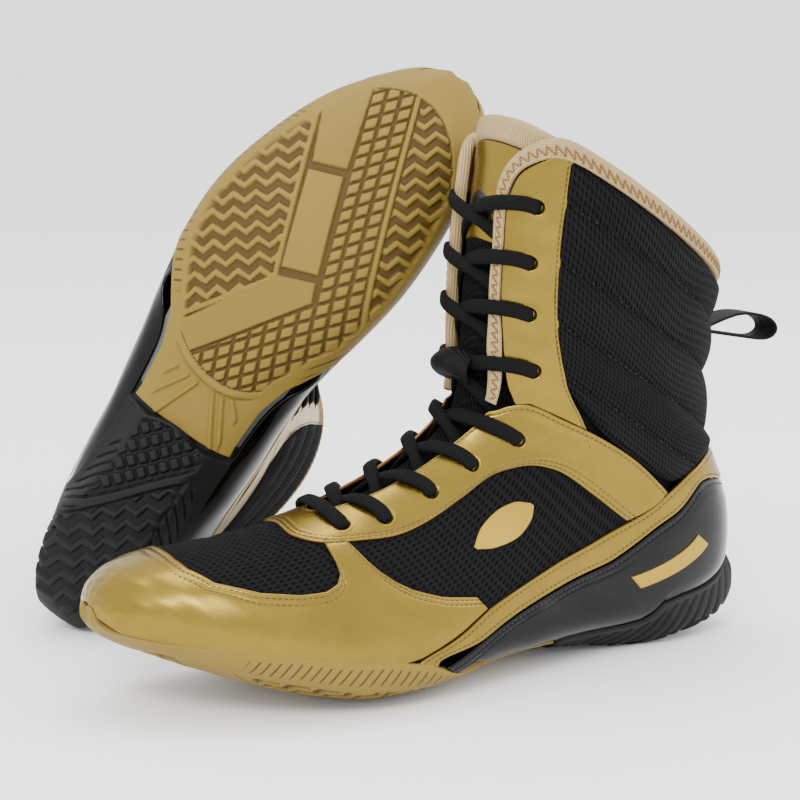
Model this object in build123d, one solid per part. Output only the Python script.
from build123d import *
import math
import os
import numpy as np

# A pair of laced high-top boxing boots, in millimetres.
# Every piece of a boot is laid on one skin, the outer face of the upper.
# A place on the skin is (t, u): t runs along the stations from toe tip to collar,
# u runs round a station, 0 on the front ridge, +1 or -1 on the sole or back line,
# positive on the lateral side. A third number, h, is the height off the skin.
# The left boot stands upright; the right boot lies on its heel and collar, sole outward.

# ---------------------------------------------------------------- driving sizes
SCALE = 1.0            # whole boot, 1.0 is a sole 290 mm long
WIDTH = 1.0            # width of the last, 1.0 is a sole 90 mm wide
MESH_T = 0.8           # air mesh cloth
GOLD_T = 1.1           # coated overlay
LAYER_GAP = 0.15       # clear space between stacked layers
SEAM_GAP = 0.012       # clear space between neighbours, in u
LINING_T = 0.8         # inner sleeve
PAD_T = 2.3            # foam round the ankle and shaft
QUILT_T = 2.8          # quilted shaft panel, foam backed
TONGUE_T = 4.0         # padded tongue
TONGUE_DEPTH = 5.0     # skin of the boot down to the top of the tongue
SOLE_T = 5.2           # outsole under the ball of the foot
SOLE_EDGE_T = 2.2      # outsole wall
WAIST_T = 3.2          # outsole under the arch
HEEL_T = 9.6           # heel cup under the heel
HEEL_BACK_T = 13.5     # heel cup at the lower rear corner
HEEL_FLAT = -0.5       # height of the flat that the heel stands on
HEEL_FRONT = 7.66      # station where the outsole ends and the heel cup starts
HEEL_EDGE_T = 2.6      # heel cup wall
MIDSOLE_T = 3.2        # foam board inside the sole
SOCK_T = 3.0           # sockliner
LACE_D = 3.0           # lace
EYELET_D = 6.2         # punched lace hole
LOOP_T = 1.2           # pull loop webbing
LOOP_W = 15.0          # pull loop webbing
LOOP_L = 40.0          # length of the pull loop from its seam
LOOP_AT = 13.95        # station of the seam of the pull loop
LOOP_ROOT = 5.4        # how far off the skin the pull loop starts
BACK_PER_STATION = 24.0    # length of the back line between two stations of the shaft
KEEPER_T = 1.0         # lace keeper webbing
MARK_T = 0.5           # raised marks
TOL = 0.1              # how closely a face follows its skin

# Pose of the right boot: turned about Z, Y, X and set down behind the left boot.
RIGHT_TURN = (153.4, -55.4, -98.5)
RIGHT_AT = (262.0, -103.1)

# Stations: front point x and z, back point x and z, lateral and medial half width,
# middle line y, roundness over the top, roundness underneath, level of the widest point.
STATIONS = [
    (279.5, 42.0, 279.5, 38.0, 3.0, 3.0, -10, 2.00, 2.0, 0.45),
    (275.5, 49.5, 274.0, 33.5, 15.0, 15.0, -10, 2.10, 2.6, 0.45),
    (266.0, 55.5, 261.0, 28.0, 26.0, 25.0, -9, 2.10, 3.0, 0.40),
    (250.0, 60.0, 241.0, 20.5, 36.0, 33.0, -6, 2.10, 3.2, 0.36),
    (228.0, 63.0, 215.0, 12.0, 43.0, 39.0, -3, 2.00, 3.4, 0.32),
    (203.0, 68.0, 185.0, 6.0, 46.5, 42.0, 0, 1.90, 3.6, 0.27),
    (179.0, 76.0, 152.0, 5.5, 45.0, 38.0, 1, 1.85, 3.6, 0.26),
    (158.0, 86.0, 116.0, 9.5, 40.0, 33.0, 1, 1.85, 3.4, 0.30),
    (140.0, 98.0, 76.0, 10.0, 35.5, 32.5, 0, 1.85, 3.3, 0.36),
    (130.0, 110.0, 34.0, 9.5, 32.5, 32.0, 0, 1.90, 3.2, 0.44),
    (126.5, 125.0, 0.0, 24.0, 32.5, 32.5, 0, 2.00, 2.6, 0.50),
    (125.5, 142.0, -4.0, 55.0, 34.0, 34.0, 0, 2.00, 2.3, 0.52),
    (123.5, 161.0, 8.5, 87.0, 35.5, 35.5, 0, 2.00, 2.2, 0.52),
    (120.5, 182.0, 12.0, 112.0, 38.0, 38.0, 0, 2.00, 2.2, 0.52),
    (117.0, 204.0, 10.5, 134.0, 41.0, 41.0, 0, 2.00, 2.2, 0.52),
    (113.0, 228.0, 8.5, 158.0, 44.0, 44.0, 0, 2.00, 2.2, 0.52),
    (109.0, 252.0, 6.5, 182.0, 46.0, 46.0, 0, 2.00, 2.2, 0.52),
]
COLLAR = 15.0          # station of the top edge
TOE = 0.08             # first station used, just behind the tip

# Seam lines as (t, u) on the lateral side.
FEATHER = [(0.08, 0.62), (1.0, 0.64), (1.4, 0.616), (2.7, 0.57), (4.1, 0.543), (5.2, 0.564),
           (5.8, 0.615), (6.2, 0.695), (6.6, 0.770), (7.0, 0.808), (7.5, 0.826)]
WINDOW = [(3.0, 0.0), (3.01, 0.12), (3.08, 0.20), (3.34, 0.285), (3.94, 0.328), (4.47, 0.340),
          (4.84, 0.338), (5.1, 0.325), (5.4, 0.315)]
CAP_REAR = [(5.65, 0.330), (5.81, 0.355), (5.98, 0.393), (6.33, 0.448), (6.77, 0.500)]
BRIDGE_FRONT = [(5.20, 0.192), (5.19, 0.250), (5.12, 0.290), (5.02, 0.312)]
BRIDGE_REAR = [(5.48, 0.214), (5.55, 0.250), (5.60, 0.285), (5.64, 0.312)]
SADDLE_LOW = [(4.88, 0.0), (4.86, 0.10), (5.16, 0.17), (5.77, 0.214), (6.29, 0.241), (6.85, 0.246),
              (7.5, 0.236), (8.23, 0.227), (8.78, 0.244), (9.12, 0.275), (9.36, 0.33), (9.45, 0.42),
              (9.50, 0.505)]
SADDLE_TOP = [(5.45, 0.0), (5.52, 0.035), (5.75, 0.060), (6.5, 0.087), (7.2, 0.096), (8.2, 0.098),
              (8.9, 0.102), (9.37, 0.113), (9.58, 0.132), (9.85, 0.157), (10.14, 0.20),
              (10.29, 0.28), (10.45, 0.39), (10.50, 0.50), (10.42, 0.585)]
BAND_TOP = [(5.72, 0.590), (6.11, 0.576), (6.37, 0.569), (6.92, 0.547), (7.85, 0.528), (8.87, 0.514),
            (9.54, 0.538), (10.46, 0.615), (11.4, 0.77), (11.75, 0.90), (11.85, 1.0)]
BAND_LOW = [(5.98, 0.618), (6.57, 0.628), (7.0, 0.617), (7.27, 0.61), (7.98, 0.60), (8.71, 0.594),
            (9.69, 0.609), (10.3, 0.66), (10.96, 0.743), (11.25, 0.87), (11.35, 1.0)]
CUP_TOP = [(6.45, 0.680), (6.7, 0.745), (7.0, 0.780), (7.5, 0.802), (8.1, 0.820), (8.75, 0.826),
           (9.11, 0.80), (9.39, 0.82), (9.75, 0.87), (10.2, 0.94), (10.42, 1.0)]
FACE_REAR = [(10.58, 0.325), (10.75, 0.304), (11.0, 0.286), (11.54, 0.279), (12.41, 0.275),
             (13.26, 0.267), (14.11, 0.262), (14.66, 0.261)]
FACE_FRONT = [(10.24, 0.152), (10.96, 0.141), (11.9, 0.138), (12.81, 0.136), (13.6, 0.132),
              (14.10, 0.150), (14.42, 0.190), (14.62, 0.238)]
THROAT = [(9.62, 0.103), (10.73, 0.096), (11.76, 0.101), (12.7, 0.101), (13.75, 0.094),
          (14.21, 0.111), (14.6, 0.156), (14.93, 0.226), (15.0, 0.30), (15.0, 0.65), (15.0, 1.0)]
BIND_IN = [(9.66, 0.126), (10.73, 0.128), (11.76, 0.127), (12.7, 0.126), (13.70, 0.121),
           (14.10, 0.135), (14.40, 0.172), (14.66, 0.230), (14.74, 0.30), (14.74, 0.65), (14.74, 1.0)]
EYELETS = [(5.62, 0.140), (6.26, 0.178), (7.17, 0.178), (8.10, 0.175), (9.30, 0.205),
           (10.85, 0.207), (11.88, 0.203), (12.78, 0.198), (13.76, 0.198)]
SHAFT_ROWS = 5         # how many of the eyelets are on the shaft facing


# ---------------------------------------------------------------- the skin
TABLE = np.array(STATIONS, float)
LAST = len(STATIONS) - 1
TURN = np.concatenate([np.linspace(0, math.pi / 2, 160), np.linspace(math.pi / 2, math.pi, 161)[1:]])
_sections = {}


def station(t):
    """Sizes at a place between two stations, by a smooth curve through the table."""
    i = min(max(int(math.floor(t)), 0), LAST - 1)
    v = t - i
    p1 = TABLE[i]
    p2 = TABLE[i + 1]
    p0 = TABLE[i - 1] if i > 0 else 2 * p1 - p2
    p3 = TABLE[i + 2] if i + 2 <= LAST else 2 * p2 - p1
    return 0.5 * (2 * p1 + (p2 - p0) * v + (2 * p0 - 5 * p1 + 4 * p2 - p3) * v * v
                  + (3 * p1 - p0 - 3 * p2 + p3) * v ** 3)


def section(t, side):
    """One side of the closed curve at a station, front ridge to back line."""
    key = (round(t, 4), side)
    if key not in _sections:
        fx, fz, bx, bz, wl, wm, yc, top, low, level = station(key[0])
        c = np.cos(TURN)
        s = np.sin(TURN)
        power = np.where(c >= 0, top, low)
        cc = np.abs(c) ** (2 / power) * np.sign(c)
        ss = np.abs(s) ** (2 / power)
        a = np.where(c >= 0, level + (1 - level) * cc, level + level * cc)
        width = (wl if side > 0 else wm) * WIDTH
        pts = np.stack([bx + (fx - bx) * a, yc + side * width * ss, bz + (fz - bz) * a], -1)
        run = np.concatenate([[0], np.cumsum(np.linalg.norm(np.diff(pts, axis=0), axis=1))])
        _sections[key] = (pts, run / run[-1])
    return _sections[key]


def skin(t, u):
    """Point of the skin."""
    if u > 1:
        u = u - 2
    if u < -1:
        u = u + 2
    pts, run = section(min(max(t, 0), LAST), 1 if u >= 0 else -1)
    a = abs(u)
    return np.array([np.interp(a, run, pts[:, k]) for k in range(3)])


def outward(t, u):
    """Unit direction away from the foot."""
    a = skin(t + 0.04, u) - skin(max(t - 0.04, 0), u)
    b = skin(t, u + 0.012) - skin(t, u - 0.012)
    n = np.cross(b, a)
    return n / np.linalg.norm(n)


def at(t, u, h=0.0):
    """Point a height h off the skin."""
    p = (skin(t, u) + h * outward(t, u)) * SCALE
    return Vector(*[float(q) for q in p])


def along(knots, n):
    """n points evenly along a seam line, by a smooth curve through its knots."""
    k = np.array(knots, float)
    step = np.linalg.norm(np.diff(k * np.array([1.0, 8.0]), axis=0), axis=1)
    run = np.concatenate([[0], np.cumsum(step)])
    run = run / run[-1]
    out = []
    for s in np.linspace(0, 1, n):
        i = min(max(int(np.searchsorted(run, s, side="right")) - 1, 0), len(k) - 2)
        v = (s - run[i]) / (run[i + 1] - run[i])
        width = run[i + 1] - run[i]
        left = (k[i + 1] - k[i - 1]) / (run[i + 1] - run[i - 1]) * width if i > 0 else k[1] - k[0]
        right = ((k[i + 2] - k[i]) / (run[i + 2] - run[i]) * width
                 if i + 2 < len(k) else k[i + 1] - k[i])
        left = np.clip(left, -3 * abs(k[i + 1] - k[i]), 3 * abs(k[i + 1] - k[i]))
        right = np.clip(right, -3 * abs(k[i + 1] - k[i]), 3 * abs(k[i + 1] - k[i]))
        p = ((2 * v ** 3 - 3 * v * v + 1) * k[i] + (v ** 3 - 2 * v * v + v) * left
             + (3 * v * v - 2 * v ** 3) * k[i + 1] + (v ** 3 - v * v) * right)
        out.append((float(p[0]), float(p[1])))
    return out


def both(line):
    """A lateral line followed by its medial twin, across the front ridge."""
    return [(t, u) for t, u in reversed(line)] + [(t, -u) for t, u in line if u > 1e-6]


def round_back(line):
    """A lateral line followed by its medial twin, across the back line."""
    return line + [(t, 2 - u) for t, u in reversed(line) if u < 1 - 1e-6]


def across(line, t):
    """u of a seam line at a station."""
    ts = [q[0] for q in line]
    us = [q[1] for q in line]
    return float(np.interp(t, ts, us))


# ---------------------------------------------------------------- solids from the skin
def patch(rows):
    """Smooth face through rows of points."""
    return Face.make_surface_from_array_of_points(rows, tol=TOL, min_deg=3, max_deg=5)


def slab(outer, inner):
    """Closed solid between two faces whose edges match."""
    f1 = patch(outer)
    f0 = patch(inner)
    walls = []
    for e in f1.edges():
        mid = e.position_at(0.5)
        k = min(f0.edges(), key=lambda q: (q.position_at(0.5) - mid).length)
        a = e.position_at(0)
        if (k.position_at(0) - a).length > (k.position_at(1) - a).length:
            k = k.reversed()
        walls.append(Face.make_surface_from_curves(e, k))
    solid = Solid(Shell([f1, f0] + walls))
    if solid.volume < 0:
        solid = Solid(Shell([-f for f in solid.faces()]))
    return solid


def panel(first, second, low, high, n=33, m=7):
    """Sheet between two seam lines, from height low to height high."""
    a = first if len(first) == n else along(first, n)
    b = second if len(second) == n else along(second, n)
    lo = low if callable(low) else (lambda i, j: low)
    hi = high if callable(high) else (lambda i, j: high)
    outer = []
    inner = []
    for i in range(n):
        row1 = []
        row0 = []
        for j in range(m):
            w = j / (m - 1)
            t = a[i][0] * (1 - w) + b[i][0] * w
            u = a[i][1] * (1 - w) + b[i][1] * w
            row1.append(at(t, u, hi(i / (n - 1), w)))
            row0.append(at(t, u, lo(i / (n - 1), w)))
        outer.append(row1)
        inner.append(row0)
    return slab(outer, inner)


def drill(solid, holes, radius, low, high):
    """Round holes through a sheet, square to the skin."""
    for t, u in holes:
        a = at(t, u, low)
        b = at(t, u, high)
        plane = Plane(origin=a, z_dir=(b - a).normalized())
        solid = solid - (plane.location * Cylinder(radius * SCALE, (b - a).length,
                                                   align=(Align.CENTER, Align.CENTER, Align.MIN)))
    return solid


# Heights of the layers, inside to outside.
MESH_LOW = 0.0
MESH_HIGH = MESH_LOW + MESH_T
GOLD_LOW = MESH_HIGH + LAYER_GAP
GOLD_HIGH = GOLD_LOW + GOLD_T
PAD_HIGH = -LAYER_GAP
PAD_LOW = PAD_HIGH - PAD_T
LINING_HIGH = PAD_LOW - LAYER_GAP
LINING_LOW = LINING_HIGH - LINING_T
TONGUE_HIGH = -TONGUE_DEPTH
TONGUE_LOW = TONGUE_HIGH - TONGUE_T
CUP_GAP = 0.35         # sole walls off the upper
LACE_IN = -LACE_D / 2 - 0.95
LACE_OUT = GOLD_HIGH + LACE_D / 2 + 0.25


def edge_to_bottom(edge, bottom):
    """Thickness that grows from a wall to the underside of the sole."""
    def height(i, w):
        c = 1 - abs(2 * w - 1)
        s = min(max((c - 0.12) / 0.5, 0), 1)
        s = s * s * (3 - 2 * s)
        return CUP_GAP + edge + (bottom(i) - edge) * s
    return height


def outsole():
    """Rubber cup under the forefoot with its toe wrap, running back as a narrow waist plate."""
    end = HEEL_FRONT - 0.05
    side = [(t, across(FEATHER, t)) for t in np.linspace(TOE, end, 49)]
    other = [(t, 2 - u) for t, u in side]

    def bottom(s):
        t = TOE + s * (end - TOE)
        return float(np.interp(t, [0, 1.5, 4.0, 5.0, 6.0, 6.8, 7.4, 8.3],
                               [2.6, 3.6, 4.6, SOLE_T, SOLE_T, SOLE_T * 0.85, WAIST_T, WAIST_T]))
    return panel(side, other, CUP_GAP, edge_to_bottom(SOLE_EDGE_T, bottom), n=49, m=25)


def heel_cup():
    """Black rubber cup round the heel, cut flat underneath."""
    line = [(t, across(CUP_TOP, t)) for t in np.linspace(HEEL_FRONT + 0.05, 10.42, 33)]
    other = [(t, 2 - u) for t, u in line[:-1]] + [(line[-1][0], 1.0)]
    top = [(t, u + 0.008) for t, u in line]
    low = [(t, u - 0.008) for t, u in other]
    top[-1] = (10.40, 0.985)
    low[-1] = (10.40, 1.015)

    def height(s, w):
        c = 1 - abs(2 * w - 1)
        k = min(max((c - 0.10) / 0.45, 0), 1)
        k = k * k * (3 - 2 * k)
        t = HEEL_FRONT + 0.05 + s * (10.4 - HEEL_FRONT - 0.05)
        deep = float(np.interp(t, [7.6, 8.0, 8.5, 8.8, 9.2, 9.6, 9.8, 10.0, 10.2, 10.4],
                               [HEEL_T * 0.55, HEEL_T * 0.75, HEEL_T * 0.93, HEEL_T, HEEL_T * 1.08,
                                HEEL_BACK_T * 0.96, HEEL_BACK_T, HEEL_BACK_T * 0.93, HEEL_BACK_T * 0.75,
                                HEEL_BACK_T * 0.45]))
        return CUP_GAP + HEEL_EDGE_T + (deep - HEEL_EDGE_T) * k
    solid = panel(top, low, CUP_GAP, height, n=33, m=25)
    under = Pos(50 * SCALE, 0, (HEEL_FLAT - 10) * SCALE) * Box(200 * SCALE, 200 * SCALE, 20 * SCALE)
    return solid - under


def midsole():
    """Foam board glued inside the sole."""
    ts = np.linspace(0.5, 9.9, 33)
    edge = [(t, float(np.interp(t, [0.5, 2, 6, 8, 9.9], [0.72, 0.68, 0.74, 0.78, 0.88]))) for t in ts]
    return panel(edge, [(t, 2 - u) for t, u in edge], PAD_HIGH - MIDSOLE_T, PAD_HIGH, m=17)


def sockliner():
    """Loose insole on top of the foam board."""
    high = PAD_HIGH - MIDSOLE_T - 0.3
    ts = np.linspace(0.8, 9.7, 33)
    edge = [(t, float(np.interp(t, [0.8, 2, 6, 8, 9.7], [0.76, 0.72, 0.76, 0.80, 0.90]))) for t in ts]
    return panel(edge, [(t, 2 - u) for t, u in edge], high - SOCK_T, high, m=17)


def toe_cap():
    """Gold overlay round the toe and back along both sides, with a bridge up to each side of the saddle."""
    low = [(TOE + 0.04, 0.0), (TOE + 0.05, 0.30), (TOE + 0.20, 0.52)]
    low = low + [(t, across(FEATHER, t) - SEAM_GAP) for t in (0.8, 1.4, 2.0, 2.7, 3.4, 4.1, 4.7, 5.2)]
    low = low + [(5.5, 0.573), (5.72, 0.572), (6.11, 0.560), (6.5, 0.548), (6.85, 0.532)]
    cap = panel(both(inner_half()), both(low), GOLD_LOW, GOLD_HIGH, n=65, m=7)
    bridges = []
    for k in (1, -1):
        bridges.append(panel([(t, k * u) for t, u in BRIDGE_FRONT], [(t, k * u) for t, u in BRIDGE_REAR],
                             GOLD_LOW, GOLD_HIGH, n=13, m=5))
    return Compound([cap] + bridges)


def inner_half():
    """Inner edge of the toe cap on the lateral side, from the ridge back."""
    return WINDOW + CAP_REAR


def vamp_mesh():
    """Air mesh over the toes, its edge hidden under the overlays."""
    ts = np.linspace(2.75, 5.5, 17)
    wide = [(t, float(np.interp(t, [2.75, 3.3, 4.4, 5.5], [0.25, 0.32, 0.37, 0.30]))) for t in ts]
    return panel(wide, [(t, -u) for t, u in wide], MESH_LOW, MESH_HIGH, n=17, m=17)


def lace_saddle():
    """Gold overlay that carries the lower eyelets and sweeps back as the ankle strap."""
    solid = panel(both(SADDLE_TOP), both(SADDLE_LOW), GOLD_LOW, GOLD_HIGH, n=81, m=7)
    holes = [(t, s * u) for t, u in EYELETS[:-SHAFT_ROWS + 1] for s in (1, -1)]
    return drill(solid, holes, EYELET_D / 2, MESH_HIGH, GOLD_HIGH + 3)


def quarter_mesh(side):
    """Air mesh side panel under the saddle, strap and band."""
    ts = np.linspace(5.9, 9.6, 25)
    top = [(t, float(np.interp(t, [q[0] for q in SADDLE_LOW], [q[1] for q in SADDLE_LOW])) - 0.02) for t in ts]
    top = [(t, min(u, 0.30)) for t, u in top]
    low = [(t, float(np.interp(t, [q[0] for q in BAND_TOP], [q[1] for q in BAND_TOP])) + 0.03) for t in ts]
    if side < 0:
        top = [(t, -u) for t, u in top]
        low = [(t, -u) for t, u in low]
    return panel(top, low, MESH_LOW, MESH_HIGH, n=25, m=11)


def heel_band():
    """Gold strip from the ball of the foot up round the back of the heel."""
    top = [(t, u + SEAM_GAP) for t, u in BAND_TOP]
    top[-1] = (BAND_TOP[-1][0] - 0.06, 1.0)
    return panel(round_back(top), round_back(BAND_LOW), GOLD_LOW, GOLD_HIGH, n=73, m=5)


def heel_counter():
    """Black patent counter under the band."""
    top = [(t, u + SEAM_GAP) for t, u in BAND_LOW]
    top[0] = (6.35, 0.648)
    top[1] = (6.62, 0.643)
    top[-1] = (BAND_LOW[-1][0] - 0.08, 1.0)
    low = [(t, u - SEAM_GAP) for t, u in CUP_TOP]
    low[-1] = (CUP_TOP[-1][0] + 0.10, 1.0)
    return panel(round_back(top), round_back(low), 0.15, 1.9, n=73, m=9)


def counter_stiffener():
    """Moulded stiffener hidden behind the counter."""
    top = [(9.0, 0.62), (9.69, 0.64), (10.3, 0.69), (10.9, 0.77), (11.15, 0.88), (11.2, 1.0)]
    low = [(9.1, 0.76), (9.4, 0.77), (9.8, 0.80), (10.15, 0.86), (10.35, 0.93), (10.4, 1.0)]
    return panel(round_back(top), round_back(low), PAD_HIGH - 1.4, PAD_HIGH, n=49, m=7)


def toe_puff():
    """Stiffener hidden inside the toe."""
    ts = np.linspace(0.35, 2.6, 17)
    edge = [(t, float(np.interp(t, [0.35, 1.5, 2.6], [0.58, 0.55, 0.45]))) for t in ts]
    return panel(edge, [(t, -u) for t, u in edge], PAD_HIGH - 1.1, PAD_HIGH, n=17, m=17)


def shaft_edge():
    """Lower edge of the quilted panel, facing to back line."""
    return [(11.6, 0.296), (11.0, 0.303), (10.72, 0.345), (10.60, 0.42), (10.62, 0.517),
            (10.72, 0.615), (11.1, 0.70), (11.55, 0.78), (11.85, 0.88), (11.95, 1.0)]


def shaft_panel():
    """Quilted mesh round the ankle and shaft."""
    low = round_back(shaft_edge())
    top = round_back([(14.70, 0.277), (14.70, 0.30), (14.70, 0.36), (14.70, 0.42), (14.70, 0.50),
                      (14.70, 0.58), (14.70, 0.68), (14.70, 0.78), (14.70, 0.88), (14.70, 1.0)])
    return panel(top, low, MESH_LOW, QUILT_T, n=65, m=13)


def shaft_padding():
    """Foam behind the quilted panel."""
    low = round_back([(11.4, 0.26), (11.3, 0.50), (11.35, 0.70), (11.6, 0.85), (11.7, 1.0)])
    top = round_back([(14.6, 0.26), (14.6, 0.48), (14.6, 0.68), (14.6, 0.84), (14.6, 1.0)])
    return panel(top, low, PAD_LOW, PAD_HIGH, n=49, m=9)


def lining_foot():
    """Inner sleeve over the toes."""
    ts = np.linspace(0.7, 5.3, 21)
    edge = [(t, float(np.interp(t, [0.7, 1.5, 3, 5.3], [0.56, 0.58, 0.60, 0.62]))) for t in ts]
    return panel(edge, [(t, -u) for t, u in edge], LINING_LOW, LINING_HIGH, n=21, m=17)


def lining_quarter(side):
    """Inner sleeve of one side of the foot."""
    ts = np.linspace(5.6, 9.1, 17)
    top = [(t, side * 0.25) for t in ts]
    low = [(t, side * float(np.interp(t, [5.6, 7.5, 9.1], [0.62, 0.66, 0.66]))) for t in ts]
    return panel(top, low, LINING_LOW, LINING_HIGH, n=17, m=9)


def lining_shaft():
    """Inner sleeve of the heel and shaft."""
    low = round_back([(9.35, 0.245), (9.35, 0.42), (9.40, 0.60), (10.2, 0.72), (10.6, 0.86), (10.7, 1.0)])
    top = round_back([(14.68, 0.245), (14.68, 0.40), (14.68, 0.58), (14.68, 0.72), (14.68, 0.86),
                      (14.68, 1.0)])
    return panel(top, low, LINING_LOW, LINING_HIGH, n=57, m=13)


def facing(side):
    """Gold shaft facing that carries the upper eyelets."""
    front = [(t, side * u) for t, u in FACE_FRONT]
    rear = [(t, side * u) for t, u in FACE_REAR]
    solid = panel(front, rear, GOLD_LOW, GOLD_HIGH, n=41, m=7)
    holes = [(t, side * u) for t, u in EYELETS[-SHAFT_ROWS + 1:]]
    return drill(solid, holes, EYELET_D / 2, MESH_HIGH - 0.5, GOLD_HIGH + 3)


def collar_binding():
    """Ribbed elastic binding: up one facing, round the collar and down the other facing."""
    edge = round_back(THROAT)
    inside = round_back(BIND_IN)

    def low(s, w):
        a = min(s, 1 - s)
        k = min(max((a - 0.27) / 0.06, 0), 1)
        k = k * k * (3 - 2 * k)
        return -0.5 + (LINING_LOW + 0.5) * k
    return panel(edge, inside, low, GOLD_HIGH + 0.5, n=97, m=4)


def tongue():
    """Padded mesh tongue under the throat."""
    ts = np.linspace(5.6, 14.5, 41)
    wide = [(t, float(np.interp(t, [5.6, 7, 9, 10.5, 14.5], [0.13, 0.17, 0.19, 0.21, 0.22]))) for t in ts]
    return panel(wide, [(t, -u) for t, u in wide], TONGUE_LOW, TONGUE_HIGH, n=41, m=11)


def tongue_top():
    """Gold panel at the head of the tongue."""
    ts = np.linspace(12.75, 14.45, 15)
    high = TONGUE_HIGH + LAYER_GAP + 0.4
    return panel([(t, 0.19) for t in ts], [(t, -0.19) for t in ts], TONGUE_HIGH + LAYER_GAP, high,
                 n=15, m=11)


def tongue_binding():
    """Beige binding over the top edge of the tongue."""
    us = np.linspace(0.22, -0.22, 17)
    top = [(14.86, u) for u in us]
    low = [(14.56, u) for u in us]
    return panel(top, low, TONGUE_LOW - 0.3, TONGUE_HIGH + 0.7, n=17, m=4)


def lace_keeper():
    """Webbing arch on the tongue that the laces pass through at the ankle."""
    ts = np.linspace(9.70, 10.46, 13)

    def low(s, w):
        rise = math.sin(math.pi * s) ** 0.4 if 0 < s < 1 else 0.0
        return TONGUE_HIGH + LAYER_GAP + (LACE_OUT + LACE_D + TONGUE_DEPTH) * rise
    return panel([(t, 0.055) for t in ts], [(t, -0.055) for t in ts], low,
                 lambda s, w: low(s, w) + KEEPER_T, n=13, m=5)


def lace_runs():
    """Centre line of the lace as (t, u, h) knots, from one tucked end to the other."""
    def strand(first):
        out = []
        side = first
        for k in range(len(EYELETS) - 1):
            t0, u0 = EYELETS[k]
            t1, u1 = EYELETS[k + 1]
            d = t1 - t0
            over = (k % 2 == 0) == (first > 0)
            middle = LACE_OUT - 0.1 if over else -1.1
            out += [(t0, side * u0, GOLD_HIGH + 0.9), (t0, side * u0, -0.9),
                    (t0 + 0.04 * d, side * (u0 - 0.036), LACE_IN),
                    (t0 + 0.22 * d, side * 0.090, LACE_IN), (t0 + 0.50 * d, 0.0, middle),
                    (t0 + 0.76 * d, -side * 0.090, LACE_OUT + 1.0),
                    (t1 - 0.04 * d, -side * (u1 - 0.036), LACE_OUT + 0.3)]
            side = -side
        t, u = EYELETS[-1]
        out += [(t, side * u, GOLD_HIGH + 0.9), (t, side * u, -0.9), (t - 0.05, side * (u - 0.036), LACE_IN),
                (t - 0.30, side * 0.150, LACE_IN)]
        return out
    a = strand(1)
    b = strand(-1)
    t, u = EYELETS[0]
    bar = [(t - 0.04, u - 0.036, LACE_OUT + 0.3), (t - 0.06, 0.05, LACE_OUT + 1.0),
           (t - 0.06, -0.05, LACE_OUT + 1.0), (t - 0.04, -(u - 0.036), LACE_OUT + 0.3)]
    return list(reversed(a)) + bar + b


def tube(points, diameter):
    """Round cord along straight runs joined by tangent arcs."""
    radii = []
    for p, q, r in zip(points, points[1:], points[2:]):
        turn = math.radians((q - p).get_angle(r - q))
        short = min((q - p).length, (r - q).length)
        radii.append(min(0.45 * short / math.tan(max(turn, 0.02) / 2), 400.0))
    path = FilletPolyline(*points, radius=radii)
    start = Plane(origin=path @ 0, z_dir=path % 0)
    return sweep(start * Circle(diameter / 2), path=path)


def lace():
    """One lace, criss-crossed through every eyelet."""
    return tube([at(*q) for q in lace_runs()], LACE_D * SCALE)


def webbing(spine):
    """Strip of loop webbing along a spine drawn in the XZ plane, LOOP_W wide."""
    line = Spline(*spine)
    outer = []
    inner = []
    for s in np.linspace(0, 1, 25):
        p = line @ s
        d = line % s
        n = Vector(-d.Z, 0, d.X) * (LOOP_T * SCALE / 2)
        outer.append(p + n)
        inner.append(p - n)
    edges = [Spline(*outer), Spline(*inner)]
    ends = [Line(outer[0], inner[0]), Line(outer[-1], inner[-1])]
    face = Face(Wire(edges + ends))
    half = LOOP_W * SCALE / 2
    return extrude(face, amount=half, dir=(0, 1, 0), both=True)


def pull_loop():
    """Pull loop as it stands out behind the collar."""
    root = at(LOOP_AT, 1.0, LOOP_ROOT)
    shape = [(0.0, 1.0), (0.25, 4.2), (0.5, 6.2), (0.86, 3.6), (0.985, -2.5), (0.84, -6.8), (0.5, -4.4),
             (0.25, -2.6), (0.0, -0.8)]
    return webbing([root + Vector(-a * LOOP_L, 0, b) * SCALE for a, b in shape])


def pull_loop_folded():
    """Pull loop pressed flat down the back of the shaft."""
    shape = [(0.0, 3.6), (0.3, 3.8), (0.6, 3.9), (0.9, 3.8), (0.975, 2.7), (0.9, 1.6), (0.6, 1.6), (0.3, 1.6),
             (0.0, 1.6)]
    return webbing([at(LOOP_AT - a * LOOP_L / BACK_PER_STATION, 1.0, QUILT_T + b) for a, b in shape])


def badge():
    """Raised oval on the lateral quarter."""
    knots = [(7.17, 0.372), (7.45, 0.335), (7.85, 0.315), (8.22, 0.318), (8.45, 0.340)]
    under = [(7.19, 0.384), (7.45, 0.405), (7.85, 0.410), (8.24, 0.384), (8.47, 0.352)]
    return panel(knots, under, GOLD_LOW, GOLD_LOW + MARK_T, n=25, m=5)


def counter_mark():
    """Raised bar on the lateral side of the counter."""
    ts = np.linspace(8.95, 10.15, 17)
    top = [(t, float(np.interp(t, [8.95, 10.15], [0.665, 0.735]))) for t in ts]
    low = [(t, u + 0.045) for t, u in top]
    return panel(top, low, 2.05, 2.05 + MARK_T, n=17, m=4)


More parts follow.
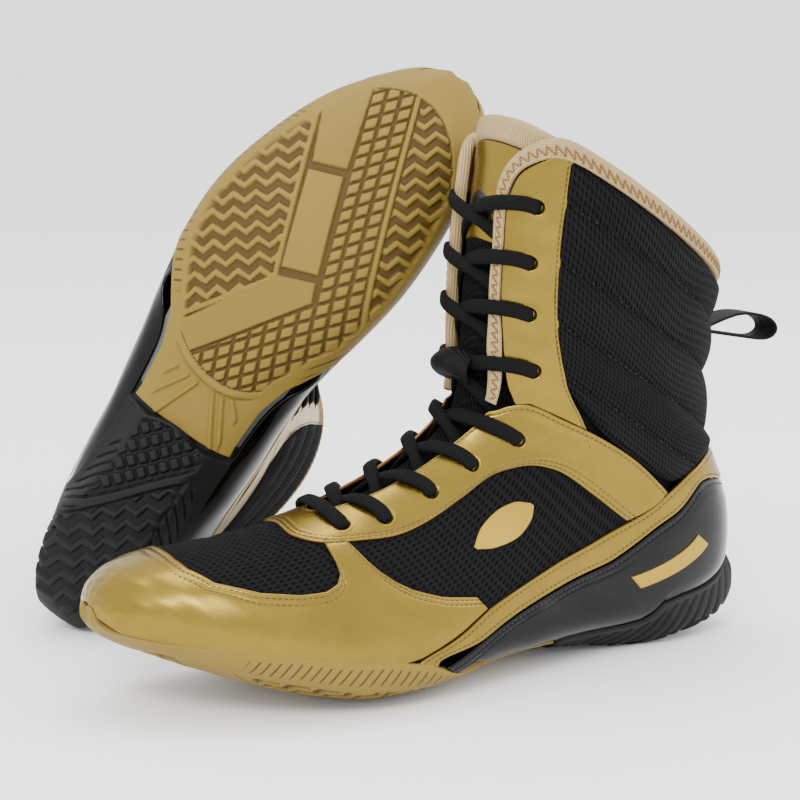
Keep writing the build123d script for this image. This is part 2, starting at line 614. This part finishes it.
PIECES = {
    "outsole": outsole, "heel_cup": heel_cup, "midsole": midsole, "sockliner": sockliner,
    "toe_cap": toe_cap, "vamp_mesh": vamp_mesh, "lace_saddle": lace_saddle,
    "quarter_mesh_lateral": lambda: quarter_mesh(1), "quarter_mesh_medial": lambda: quarter_mesh(-1),
    "heel_band": heel_band, "heel_counter": heel_counter, "counter_stiffener": counter_stiffener,
    "toe_puff": toe_puff, "shaft_panel": shaft_panel, "shaft_padding": shaft_padding,
    "lining_foot": lining_foot, "lining_shaft": lining_shaft,
    "lining_quarter_lateral": lambda: lining_quarter(1),
    "lining_quarter_medial": lambda: lining_quarter(-1),
    "facing_lateral": lambda: facing(1), "facing_medial": lambda: facing(-1),
    "collar_binding": collar_binding, "tongue": tongue, "tongue_top": tongue_top,
    "tongue_binding": tongue_binding, "lace_keeper": lace_keeper, "lace": lace,
    "pull_loop": pull_loop, "badge": badge, "counter_mark": counter_mark,
}


def place_left(shape):
    """Upright boot, toe toward -X and lateral side toward -Y."""
    return Rot(0, 0, 180) * shape


def place_right(shape):
    """Mirror twin, turned onto its heel and collar behind the left boot."""
    twin = shape.mirror(Plane.XZ)
    a, b, c = RIGHT_TURN
    turned = Rot(0, 0, a) * Rot(0, b, 0) * Rot(c, 0, 0) * twin
    return Rot(0, 0, 180) * Pos(RIGHT_AT[0] * SCALE, RIGHT_AT[1] * SCALE, 0) * turned


def drop(shapes):
    """Set a group down on the floor by its lowest point."""
    boxes = {k: s.bounding_box().min.Z for k, s in shapes.items()}
    near = [s for k, s in shapes.items() if boxes[k] < min(boxes.values()) + 3 * SCALE]
    low = min(v.Z for s in near for v in s.tessellate(0.02)[0])
    return -low, {k: Pos(0, 0, -low) * s for k, s in shapes.items()}


def main():
    os.makedirs("parts", exist_ok=True)
    boot = {}
    for name, make in PIECES.items():
        boot[name] = make()
    left_up, left = drop({k: place_left(s) for k, s in boot.items()})
    boot["pull_loop"] = pull_loop_folded()
    right_up, right = drop({k: place_right(s) for k, s in boot.items()})
    every = list(left.values()) + list(right.values())
    boxes = [s.bounding_box() for s in every]
    cx = (min(b.min.X for b in boxes) + max(b.max.X for b in boxes)) / 2
    cy = (min(b.min.Y for b in boxes) + max(b.max.Y for b in boxes)) / 2
    for k in PIECES:
        export_step(Pos(-cx, -cy, 0) * left[k], "parts/" + k + "_left.step")
        export_step(Pos(-cx, -cy, 0) * right[k], "parts/" + k + "_right.step")
    print("centre", round(cx, 3), round(cy, 3), "raised", round(left_up, 3), round(right_up, 3))


if __name__ == "__main__":
    main()
